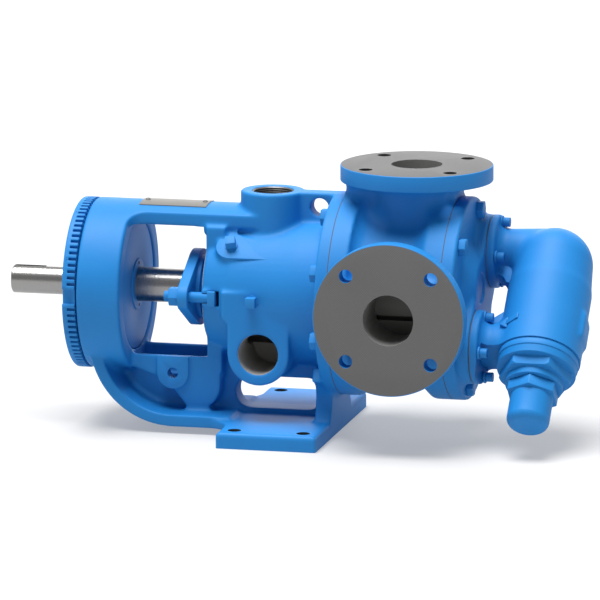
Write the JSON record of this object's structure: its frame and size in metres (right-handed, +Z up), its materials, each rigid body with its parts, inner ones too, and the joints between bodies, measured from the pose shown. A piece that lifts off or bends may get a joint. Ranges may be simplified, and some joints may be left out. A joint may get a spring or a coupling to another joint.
{
  "type": "internal gear pump",
  "caption": "Foot-mounted internal gear pump: drive shaft through a bearing bracket and packed stuffing box into a flanged casing with a relief valve on its head.",
  "frame": {"origin": "centre of the four foot holes, on the underside of the foot", "axes": "+X along the shaft from the drive end to the head and relief valve, +Y to the rear, away from the front port, +Z up"},
  "size_m": [0.5923, 0.2508, 0.2731],
  "materials": {
    "blue_paint": "satin enamel over cast iron",
    "bright_steel": "ground",
    "cast_iron": "machined",
    "carbon_graphite": "matte",
    "brass": "machined",
    "gasket_paper": "matte",
    "seal_rubber": "matte",
    "packing_braid": "braided",
    "bare_aluminium": "satin"
  },
  "bodies": {
    "root": {"bracket": "blue_paint", "bracket_bushing": "carbon_graphite", "casing": "blue_paint", "head": "blue_paint", "bracket_gasket": "gasket_paper", "head_gasket": "gasket_paper", "bracket_bolts": "blue_paint", "head_bolts": "blue_paint", "idler_pin": "bright_steel", "bearing_carrier": "blue_paint", "bearing_end_cap": "blue_paint", "outboard_seal": "seal_rubber", "inboard_seal": "seal_rubber", "bearing_outer_race": "bright_steel", "carrier_set_screws": "bright_steel", "packing_rings": "packing_braid", "packing_washer": "bright_steel", "gland_bolts": "blue_paint", "nameplate": "bare_aluminium", "drive_screws": "bright_steel", "pipe_plugs": "blue_paint", "valve_body": "blue_paint", "valve_flange_gaskets": "gasket_paper", "valve_bolt_washers": "blue_paint", "valve_bolts": "blue_paint", "valve_seat": "bright_steel", "relief_spring": "bright_steel", "screw_lock_nut": "bright_steel", "bonnet_gasket": "gasket_paper", "bonnet": "blue_paint", "cap_gasket": "gasket_paper", "valve_cap": "blue_paint"},
    "rotating_shaft": {"shaft": "bright_steel", "rotor": "cast_iron", "bearing_inner_race": "bright_steel", "shaft_locknut": "bright_steel", "lock_washer": "bright_steel"},
    "idler_gear": {"idler": "cast_iron", "idler_bushing": "carbon_graphite"},
    "ball_cage": {"bearing_balls": "bright_steel", "bearing_cage": "brass"},
    "gland_follower": {"gland": "blue_paint", "gland_nuts": "blue_paint"},
    "poppet_body": {"poppet": "bright_steel"},
    "guide_body": {"spring_guide": "bright_steel"},
    "screw_body": {"adjusting_screw": "bright_steel"}
  },
  "joints": [
    {"name": "shaft_spin", "type": "hinge", "parent": "root", "child": "rotating_shaft", "pos_m": [0, 0, 0.1397], "axis": [1, 0, 0], "continuous": true},
    {"name": "idler_spin", "type": "hinge", "parent": "root", "child": "idler_gear", "pos_m": [0.13, -0.01347, 0.15317], "axis": [1, 0, 0], "continuous": true},
    {"name": "cage_spin", "type": "hinge", "parent": "root", "child": "ball_cage", "pos_m": [-0.1769, 0, 0.1397], "axis": [1, 0, 0], "continuous": true},
    {"name": "gland_travel", "type": "slide", "parent": "root", "child": "gland_follower", "axis": [1, 0, 0], "range_m": [-0.005, 0]},
    {"name": "poppet_lift", "type": "slide", "parent": "root", "child": "poppet_body", "axis": [0, -0.7071, -0.7071], "range_m": [0, 0.008], "stiffness_N_per_m": 20000, "springref_m": -0.03, "deforming": ["relief_spring"]},
    {"name": "spring_guide_travel", "type": "slide", "parent": "root", "child": "guide_body", "axis": [0, -0.7071, -0.7071], "range_m": [-0.00317, 0.00317]},
    {"name": "adjusting_screw_turn", "type": "hinge", "parent": "guide_body", "child": "screw_body", "pos_m": [0.2616, -0.0707, 0.069], "axis": [0, -0.7071, -0.7071], "range_deg": [-720, 720]}
  ],
  "couplings": [
    {"joint": "idler_spin", "follows": "shaft_spin", "ratio": 1.4},
    {"joint": "cage_spin", "follows": "shaft_spin", "ratio": 0.3784},
    {"joint": "adjusting_screw_turn", "follows": "spring_guide_travel", "rad_per_m": 3957.9}
  ]
}
